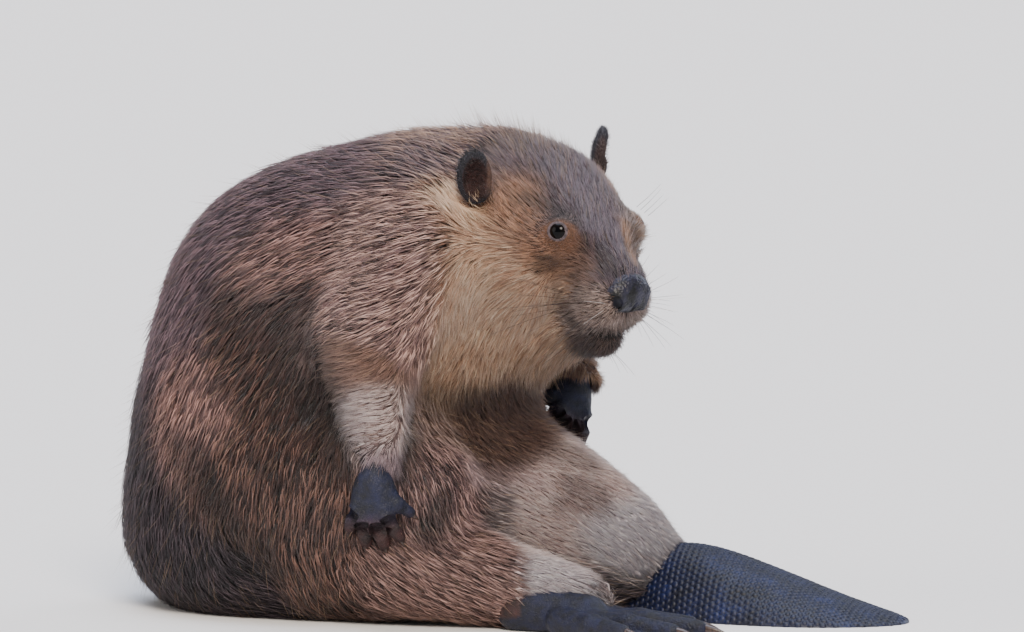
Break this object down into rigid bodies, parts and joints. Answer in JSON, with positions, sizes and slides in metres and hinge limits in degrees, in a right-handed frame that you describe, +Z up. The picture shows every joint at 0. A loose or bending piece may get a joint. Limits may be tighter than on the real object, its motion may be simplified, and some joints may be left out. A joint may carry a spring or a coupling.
{
  "type": "beaver, still life-size model",
  "caption": "North American beaver sitting up on its haunches with the tail folded forward between its hind feet, head turned to its right, one hand on its thigh; a still model.",
  "frame": {"origin": "on the floor, under the middle of the model's bounding box", "axes": "+X the way the trunk faces and the tail lies, +Y the animal's left, +Z up"},
  "size_m": [0.5331, 0.3275, 0.3219],
  "materials": {
    "back_coat": "wet-look guard hairs, dark purplish brown",
    "flank_coat": "reddish brown guard hairs with tan tips",
    "face_coat": "short golden-brown fur",
    "arm_coat": "short pale beige fur in wet clumps",
    "belly_coat": "short smooth mauve-brown fur",
    "bare_skin": "bare, damp, blue-black skin",
    "tail_scales": "blue-black leathery scales",
    "claw": "dark brown horn",
    "eye": "wet, near-black"
  },
  "bodies": {
    "root": {"head": "face_coat", "neck": "back_coat", "trunk": "back_coat", "tail_root": "belly_coat", "tail_paddle": "tail_scales", "nose": "bare_skin", "right_upper_arm": "flank_coat", "right_forearm": "arm_coat", "right_hand": "bare_skin", "right_haunch": "flank_coat", "right_shank": "flank_coat", "right_foot": "bare_skin", "right_ear": "bare_skin", "right_eye": "eye", "right_hand_claw_1": "claw", "right_hand_claw_2": "claw", "right_hand_claw_3": "claw", "right_hand_claw_4": "claw", "right_hand_claw_5": "claw", "right_foot_claw_1": "claw", "right_foot_claw_2": "claw", "right_foot_claw_3": "claw", "right_foot_claw_4": "claw", "right_foot_claw_5": "claw", "left_upper_arm": "flank_coat", "left_forearm": "arm_coat", "left_hand": "bare_skin", "left_haunch": "flank_coat", "left_shank": "flank_coat", "left_foot": "bare_skin", "left_ear": "bare_skin", "left_eye": "eye", "left_hand_claw_1": "claw", "left_hand_claw_2": "claw", "left_hand_claw_3": "claw", "left_hand_claw_4": "claw", "left_hand_claw_5": "claw", "left_foot_claw_1": "claw", "left_foot_claw_2": "claw", "left_foot_claw_3": "claw", "left_foot_claw_4": "claw", "left_foot_claw_5": "claw"}
  },
  "joints": []
}
